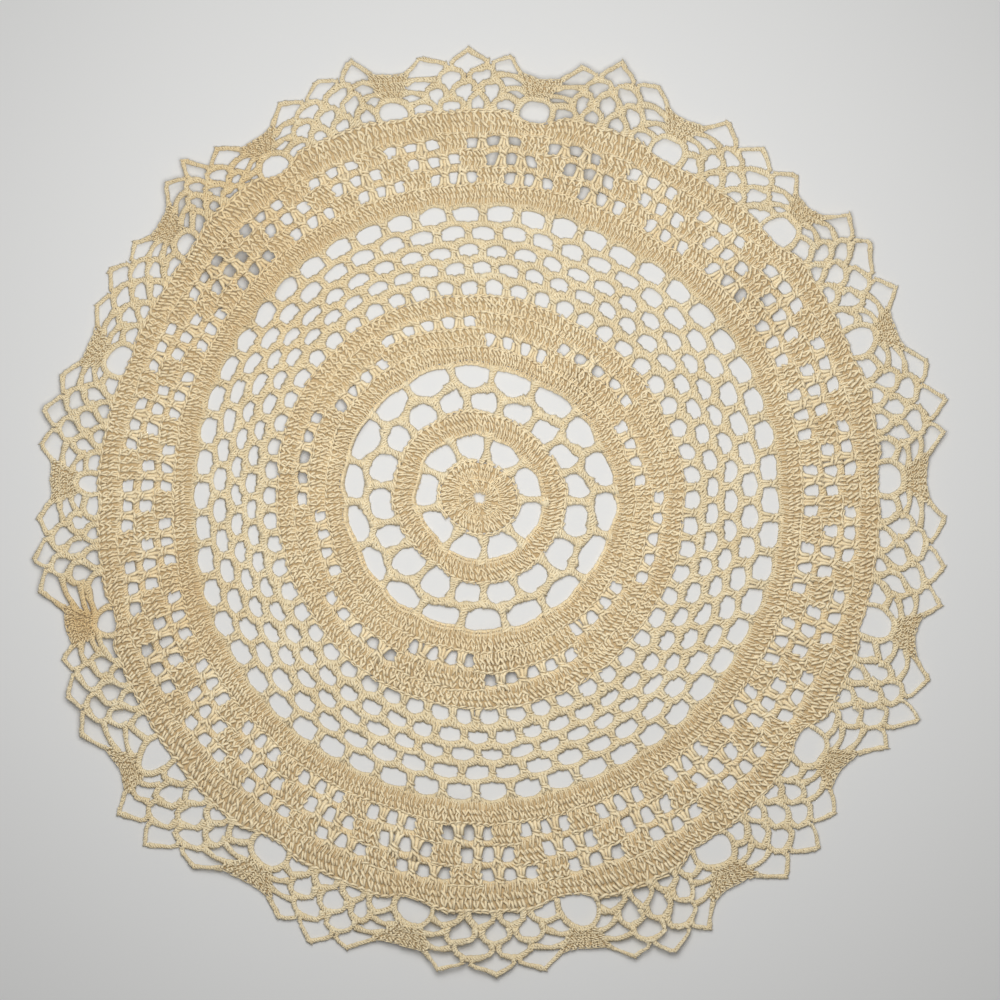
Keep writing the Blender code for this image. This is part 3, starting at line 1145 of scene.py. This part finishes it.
# half of an arch's run of chain, across and outward, as shares of its half width and its rise
ARCH_LINE = ((-0.92, 0.02), (-1.0, 0.30), (-0.86, 0.60), (-0.50, 0.88), (0.0, 1.0))


def ring_line(net):
    """The run of chain round the arch, from one foot to the other."""
    low, high = net.sides
    middle, half, rise = (low + high) / 2, (high - low) / 2, net.top - net.sill
    left = [Spot(middle + half * a, net.sill + rise * o) for a, o in ARCH_LINE]
    right = [Spot(middle - half * a, net.sill + rise * o) for a, o in reversed(ARCH_LINE[:-1])]
    return (*left, *right)


def side_of_ring(net, outward, side):
    """A spot on the outside of the arch's run of chain."""
    share = min(0.9, max(0.0, (outward - net.sill) / (net.top - net.sill)))
    reach = math.sqrt(1 - (share / 1.02) ** 2.4)
    middle, half = sum(net.sides) / 2, (net.sides[1] - net.sides[0]) / 2 + 0.015
    return Spot(middle + side * half * reach, outward)


def beside(spot, side, rise):
    """A spot on the left (-1) or the right (1) of a joint, and so much further outward."""
    return Spot(spot[0] + side * LEG_SIDE, spot[1] + rise)


def work_loop(work, index, start, peak, end, width, rise=0.015):
    """Works a loop of chain between two runs of spots of the edging, over its peak."""
    left, right = start[-1], end[-1]
    spots = (
        *start, towards(left, peak, 0.50, rise), towards(left, peak, 0.85, rise / 2), peak,
        towards(right, peak, 0.85, rise / 2), towards(right, peak, 0.50, rise), *reversed(end),
    )
    work.chain(run_of(index, spots), width=width, joints=2, spread=0.35)


def legs_of(joint, side, first, last, rise=0.7):
    """Where a loop runs up through a joint; it only starts at the first and the last of a row."""
    if joint in (first, last):
        return (joint,)
    return beside(joint, side, -LEG * 1.1), beside(joint, side, LEG * rise)


def work_side_loop(work, index, end, joint):
    """Works a run of chain from the end of a cluster to a joint of the net."""
    spots = (end, towards(end, joint, 0.5, 0.035), raised(joint, LEG * 0.25))
    work.chain(run_of(index, spots), width=1.6, joints=1, spread=0.5)


def work_arch(work, index):
    """The run of chain round an arch, and the cluster of stitches over it."""
    work.chain(run_of(index, ring_line(NETS[index])), TIGHT_UNEVEN, width=2.1)
    lines = [smooth(both_ways(index, line)) for line in CLUSTER_LINES]
    for inner, outer, stitches in zip(lines[:-1], lines[1:], CLUSTER_STITCHES):
        work.add(DC_OVER, row_cells(inner, outer, stitches))


class LoopRow(NamedTuple):
    """How one row of the net's loops is worked."""
    lower: float        # how far its peaks stay under the joints, against LEG
    width: float        # of its chains


LOOP_ROWS = (LoopRow(1.3, 2.05), LoopRow(1.1, 1.95), LoopRow(1.0, 1.8))
RIM_WIDTH = 1.35        # of the chains of the loops on the rim
RIM_TIP = 0.985         # how far outward their tips are
ARCH_HOLD = 0.26        # how far outward the net is held by the sides of the arches


def work_net(work, index):
    """Three rows of loops between an arch and the next, from the dense round outward."""
    net, after = NETS[index], NETS[(index + 1) % len(NETS)]
    near = side_of_ring(net, ARCH_HOLD, 1)
    beyond = side_of_ring(after, ARCH_HOLD, -1)
    far = Spot(1 + beyond.across, beyond.outward)
    feet = [Spot(across, net.edge + 0.05) for across in net.feet]
    rows = ((near, *feet, far), net.first, net.second, net.third)
    for here, above, loops in zip(rows[:3], rows[1:], LOOP_ROWS):
        for k, joint in enumerate(above):
            start, end = legs_of(here[k], 1, near, far), legs_of(here[k + 1], -1, near, far)
            peak = raised(joint, -LEG * loops.lower)
            work_loop(work, index, start, peak, end, loops.width)


def work_rim(work, index):
    """The three pointed loops of the rim, and the runs from the clusters to the net's joints."""
    net, after = NETS[index], NETS[(index + 1) % len(NETS)]
    starts = [over_arch(net, end) for end in SIDE_ENDS]
    stops = [over_next(after, end) for end in SIDE_ENDS]
    ends = (starts[2], *net.third, stops[2])
    for k, across in enumerate(TIP_SPOTS[1:4]):
        start = legs_of(ends[k], 1, ends[0], ends[3], 0.3)
        end = legs_of(ends[k + 1], -1, ends[0], ends[3], 0.3)
        work_loop(work, index, start, Spot(across, RIM_TIP), end, RIM_WIDTH, rise=0.0)
    for k, joints in enumerate((net.first, net.second)):
        work_side_loop(work, index, starts[k], joints[0])
        work_side_loop(work, index, stops[k], joints[-1])


def work_edging(work, repeats):
    """Works some repeats of the edging, one after another."""
    for index in repeats:
        work_arch(work, index)
        work_net(work, index)
        work_rim(work, index)


# ---------------------------------------------------------------- the ground under the dense rounds, in a painted shade

GROUND_BOTTOM = 0.30
GROUND_TOP = 0.70
DRAWN_IN = 0.5          # by which the wavy edges are drawn in under the stitches
ROUND_EDGES = (2.3, 12.0, 67.2)     # of the hub's hole, the hub and the band
BORDER_EDGE = 97.4      # under the feet of the border, at the posts of the open mesh


def circle(radius):
    """A circle of the round pattern as the cloth lies."""
    return [lay(radius, angle) for angle in range(0, 360, 2)]


def space_gap(row, middle):
    """Outline of a group of spaces, drawn in under the stitches round it."""
    half = group_half(row)
    foot, head = row.foot - 0.15, row.head - 1.0
    angles = np.linspace(-half, half, 5)
    return [lay(foot, middle + a) for a in angles] + [lay(head, middle + a) for a in reversed(angles)]


CLUSTER_PATCH = (       # half of its edge, from the arch to the rim, and the middle of the rim
    Spot(0.0, 0.54), Spot(0.045, 0.52), Spot(0.07, 0.47), Spot(0.095, 0.57), Spot(0.135, 0.70),
    Spot(0.165, 0.83), Spot(0.09, 0.86), Spot(0.0, 0.94),
)


def ground_outlines():
    """Edges of the ground: rings with their gaps, and a patch under each cluster."""
    for radius in ROUND_EDGES:
        yield circle(radius)
    yield [polar(band_foot_edge(angle) + DRAWN_IN, angle) for angle in range(0, 360, 2)]
    angles = np.arange(0, 360, 360 / (6 * MESH_SPACES))
    yield [lay(BORDER_EDGE + mesh_arches(angle), angle) for angle in angles]
    yield [lay(EDGE - DRAWN_IN + edge_shift(angle), angle) for angle in range(0, 360, 2)]
    for side, shift in ((0, DRAWN_IN), (1, -DRAWN_IN)):
        yield [polar(ring_edge(angle)[side] + shift, angle) for angle in range(0, 360, 4)]
    for row in (*BAND_SPACES, *BORDER_SPACES):
        for repeat in range(row.repeats):
            yield space_gap(row, row.middle + repeat * 360 / row.repeats)
    for index in range(len(SCALLOPS)):
        yield both_ways(index, CLUSTER_PATCH[:-1]) + run_of(index, CLUSTER_PATCH[-1:])


def make_ground(material):
    """A thin closed sheet behind the dense stitches, the backs of which it stands for; its darker
    colour is painted shade between the strands.
    """
    curve = bpy.data.curves.new("ground", "CURVE")
    curve.dimensions = "2D"
    curve.fill_mode = "BOTH"
    curve.extrude = (GROUND_TOP - GROUND_BOTTOM) / 2
    for outline in ground_outlines():
        spline = draw_line(curve, [(x, y, 0) for x, y in outline])
        spline.use_cyclic_u = True
    ground = mesh_from(curve)
    bpy.ops.object.mode_set(mode="EDIT")
    bpy.ops.mesh.select_all(action="SELECT")
    bpy.ops.mesh.remove_doubles(threshold=0.0005)
    bpy.ops.mesh.beautify_fill(angle_limit=0.02)
    bpy.ops.mesh.normals_make_consistent(inside=False)
    bpy.ops.object.mode_set(mode="OBJECT")
    points = np.array([vertex.co for vertex in ground.data.vertices])
    points[:, 2] += (GROUND_TOP + GROUND_BOTTOM) / 2
    ground.data.vertices.foreach_set("co", placed(points).astype(np.float32).ravel())
    ground.data.update()
    ground.data.materials.append(material)
    return ground


# ---------------------------------------------------------------- materials

class Value:
    """A socket of a material, on which arithmetic adds Math nodes."""

    def __init__(self, finish, socket):
        self.finish = finish
        self.socket = socket

    def math(self, operation, first, second=0.0):
        """Adds a Math node on two values or numbers."""
        how = {"operation": operation}
        return self.finish.node("ShaderNodeMath", how, Value=first, Value_001=second)

    def __add__(self, other):
        return self.math("ADD", self, other)

    def __radd__(self, other):
        return self.math("ADD", other, self)

    def __sub__(self, other):
        return self.math("SUBTRACT", self, other)

    def __rsub__(self, other):
        return self.math("SUBTRACT", other, self)

    def __mul__(self, other):
        return self.math("MULTIPLY", self, other)

    def __rmul__(self, other):
        return self.math("MULTIPLY", other, self)

    def sine(self):
        """The sine of a value in radians."""
        return self.math("SINE", self)


def set_slots(tree, slots, values):
    """Links or sets sockets, each by its identifier or its name, with _ for a space."""
    for name, value in values.items():
        slot = next(s for s in slots if name in (s.identifier, s.name.replace(" ", "_")))
        if isinstance(value, Value):
            tree.links.new(value.socket, slot)
        else:
            slot.default_value = value


class Finish:
    """A material under construction."""

    def __init__(self, name):
        self.material = bpy.data.materials.new(name)
        self.material.use_nodes = True
        self.tree = self.material.node_tree

    def node(self, kind, settings=None, output=0, **sockets):
        """Adds a node: first its settings, then the values or links of its sockets."""
        node = self.tree.nodes.new(kind)
        for name, value in (settings or {}).items():
            if name == "stops":
                for mark, (place, color) in zip(node.color_ramp.elements, value):
                    mark.position = place
                    mark.color = (*color, 1)
            else:
                setattr(node, name, value)
        set_slots(self.tree, node.inputs, sockets)
        return Value(self, node.outputs[output])

    def shade(self, **sockets):
        """Sets or links sockets of the shader."""
        set_slots(self.tree, self.tree.nodes["Principled BSDF"].inputs, sockets)


class Stain(NamedTuple):
    """A soft stain, in millimetres from the hub."""
    x: float
    y: float
    reach: float
    strength: float


STAINS = (
    Stain(-132, -38, 16, 1.10),
    Stain(-82, 112, 30, 0.42),
    Stain(-72, 70, 60, 0.40),
    Stain(-96, -34, 24, 0.45),
)

LIGHT_COTTON, DARK_COTTON = (0.985, 0.85, 0.58), (0.865, 0.695, 0.42)
# painted shade: the same cotton as above, made a little darker for the open work
LIGHT_SHADED_LACE, DARK_SHADED_LACE = (0.93, 0.81, 0.56), (0.80, 0.655, 0.40)
STAINED = (0.90, 0.79, 0.60)    # what is left of each channel in a stain


def stained(finish, place, blotch, color):
    """Multiplies a colour by the stains, which are stronger in some blotches than in others."""
    share = 0.0
    for stain in STAINS:
        x, y = (stain.x - MIDDLE[0]) * MM, (stain.y - MIDDLE[1]) * MM
        reach = stain.reach * MM
        around = finish.node(
            "ShaderNodeMapping", {"vector_type": "TEXTURE"},
            Vector=place, Location=(x, y, 0), Scale=(reach, reach, reach),
        )
        ball = {"gradient_type": "SPHERICAL"}
        fade = finish.node("ShaderNodeTexGradient", ball, output=1, Vector=around)
        share = fade * stain.strength + share
    return finish.node(
        "ShaderNodeMix", {"data_type": "RGBA", "blend_type": "MULTIPLY"}, output=2,
        Factor_Float=share * (blotch * 2.0), A_Color=color, B_Color=(*STAINED, 1),
    )


PLY_TWIST = 7.0         # radians that each ply turns in each millimetre of thread
PLY_TURNS = 12.566      # radians once round the thread, a full turn for each ply of the two


def cotton_thread(name, light, dark):
    """Matt ecru cotton: uneven in tone, with painted shade on strands that lie low, and painted shade
    in stripes along the twist of its thread.
    """
    finish = Finish(name)
    place = finish.node("ShaderNodeTexCoord", output=3)
    blotch = finish.node("ShaderNodeTexNoise", Vector=place, Scale=60.0, Detail=3.0)
    strand = finish.node("ShaderNodeTexNoise", Vector=place, Scale=900.0, Detail=2.0)
    tone = finish.node("ShaderNodeAttribute", {"attribute_name": "tone"}, output=2)
    # painted shade: how high each strand lies, so that the low ones are coloured darker
    depth = finish.node("ShaderNodeAttribute", {"attribute_name": "depth"}, output=2)
    wrap = finish.node("ShaderNodeUVMap", {"uv_map": "thread"})
    along = finish.node("ShaderNodeSeparateXYZ", Vector=wrap)
    around = finish.node("ShaderNodeSeparateXYZ", output=1, Vector=wrap)
    # painted shade: darker stripes along the twist, for the shade in the grooves between the ply
    # strands
    ply_groove_shade = (along * PLY_TWIST + around * PLY_TURNS).sine()
    share = blotch * 0.45 + strand * 0.55 + tone * 0.20 - 0.29 + depth * 0.26 + ply_groove_shade * 0.06
    stops = ((0.25, dark), (0.70, light))
    color = finish.node("ShaderNodeValToRGB", {"stops": stops}, Fac=share)
    fibres = finish.node("ShaderNodeTexNoise", Vector=place, Scale=3500.0, Detail=2.0)
    bump = finish.node("ShaderNodeBump", Height=fibres, Strength=0.4, Distance=0.0002)
    finish.shade(
        Base_Color=stained(finish, place, blotch, color), Normal=bump, Roughness=0.9,
        Specular_IOR_Level=0.25, Sheen_Weight=0.4, Sheen_Roughness=0.5,
        Sheen_Tint=(1.0, 0.95, 0.85, 1.0),
    )
    return finish.material


def cotton_back_painted_shade():
    """The backs of the stitches, coloured darker than the thread as a painted shade between the
    strands.
    """
    finish = Finish("ecru_cotton_back")
    place = finish.node("ShaderNodeTexCoord", output=3)
    grain = finish.node("ShaderNodeTexNoise", Vector=place, Scale=1200.0, Detail=2.0)
    # painted shade: browner and darker than the thread, for the shade that lies between the strands
    stops = ((0.3, (0.50, 0.37, 0.19)), (0.7, (0.64, 0.48, 0.27)))
    color = finish.node("ShaderNodeValToRGB", {"stops": stops}, Fac=grain)
    finish.shade(Base_Color=color, Roughness=0.95)
    return finish.material


# ---------------------------------------------------------------- the doily


def crocheted(name, material, work_on, *what):
    """Works the stitches of one piece, and makes its mesh."""
    work = Work(name)
    work_on(work, *what)
    return work.make(material)


def make_doily():
    """Works the pieces from the hub outward, and lays them on the ground."""
    cotton = cotton_thread("ecru_cotton", LIGHT_COTTON, DARK_COTTON)
    # the open work gets a darker copy of the cotton, as a painted shade
    lace = cotton_thread("ecru_cotton_lace", LIGHT_SHADED_LACE, DARK_SHADED_LACE)
    shaded_back = cotton_back_painted_shade()
    pieces = [
        crocheted("hub", cotton, work_centre),
        crocheted("hub_net", lace, work_hub_net),
        crocheted("band", cotton, work_band),
        crocheted("open_mesh", lace, work_open_mesh),
        crocheted("border_foot", cotton, work_border_foot),
        crocheted("border_head", cotton, work_border_head),
        crocheted("edging_upper", lace, work_edging, range(0, 9)),
        crocheted("edging_lower", lace, work_edging, range(9, 18)),
    ]
    ground = make_ground(shaded_back)
    for piece in (ground, *pieces):
        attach(piece, "root")
    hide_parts("doily")


# ---------------------------------------------------------------- the stage

VIEW_WIDTH = 0.330          # metres of the surface that the camera sees
CAMERA_LENS = 100
VIEW_OFFSET = (0.00335, 0.00382)    # of the view's middle from the frame's origin


def make_floor():
    """The pale surface that the doily lies on."""
    deselect_all()
    bpy.ops.mesh.primitive_plane_add(size=4, location=(0, 0, 0))
    floor = bpy.context.object
    floor.name = "floor"
    finish = Finish("pale_floor")
    finish.shade(Base_Color=(0.75, 0.75, 0.74, 1), Roughness=0.8)
    floor.data.materials.append(finish.material)
    floor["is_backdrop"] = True


def add_light(name, place, towards, size, power):
    """Adds a round lamp at a place, and aims it."""
    light = bpy.data.lights.new(name, "AREA")
    light.shape = "DISK"
    light.size = size
    light.energy = power
    lamp = bpy.data.objects.new(name, light)
    lamp.location = place
    aim = Vector(np.array(towards) - np.array(place))
    lamp.rotation_mode = "QUATERNION"
    lamp.rotation_quaternion = aim.to_track_quat("-Z", "Y")
    bpy.context.collection.objects.link(lamp)


def light_room():
    """A large lamp behind the doily, a weak one over it, and a dim white room."""
    add_light("key", place=(-0.15, 1.5, 2.1), towards=(0, 0.02, 0), size=1.6, power=14.2)
    add_light("overhead", place=(0.0, 0.05, 0.34), towards=(0, 0.05, 0), size=0.28, power=0.95)
    world = bpy.data.worlds.new("studio")
    world.use_nodes = True
    room = world.node_tree.nodes["Background"]
    room.inputs["Color"].default_value = (1, 1, 1, 1)
    room.inputs["Strength"].default_value = 0.17
    bpy.context.scene.world = world
    bpy.context.scene.view_settings.view_transform = "Standard"


def place_camera():
    """A camera straight above, at the height from which it sees VIEW_WIDTH."""
    camera = bpy.data.cameras.new("camera")
    camera.lens = CAMERA_LENS
    camera.clip_start = 0.01
    camera.clip_end = 10
    eye = bpy.data.objects.new("camera", camera)
    eye.location = (*VIEW_OFFSET, VIEW_WIDTH * CAMERA_LENS / camera.sensor_width)
    bpy.context.collection.objects.link(eye)
    bpy.context.scene.camera = eye


make_doily()
make_floor()
light_room()
place_camera()

boxes = {"cad": cad_box, "visual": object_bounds()}
{name: [list(low), list(high)] for name, (low, high) in boxes.items()}
